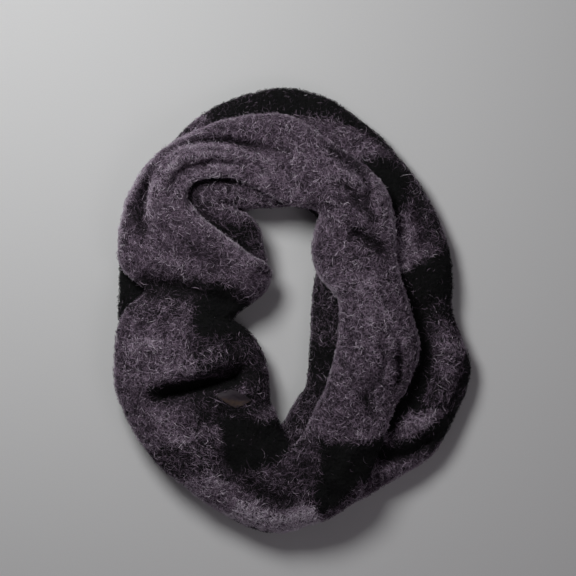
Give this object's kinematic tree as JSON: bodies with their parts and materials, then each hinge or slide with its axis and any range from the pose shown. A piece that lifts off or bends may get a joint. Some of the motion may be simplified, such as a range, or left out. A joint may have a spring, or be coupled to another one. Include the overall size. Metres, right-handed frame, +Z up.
{
  "type": "plaid infinity scarf",
  "caption": "Brushed-knit plaid infinity scarf, a loop wound twice and laid flat as a ring with heaped folds and an open middle.",
  "frame": {"origin": "middle of the scarf's box at its underside, on the surface that it lies on", "axes": "+Z up from the surface, +Y towards the top of the ring, +X to the right of the ring as seen from above"},
  "size_m": [0.3014, 0.377, 0.0559],
  "materials": {
    "plaid_knit": "brushed knit in charcoal purple and black plaid, long soft nap",
    "tab_leather": "matt, bare"
  },
  "bodies": {
    "root": {"back_wrap": "plaid_knit", "front_upper_left": "plaid_knit", "front_left": "plaid_knit", "front_bottom": "plaid_knit", "front_right": "plaid_knit", "inner_roll": "plaid_knit", "tab": "tab_leather"}
  },
  "joints": []
}
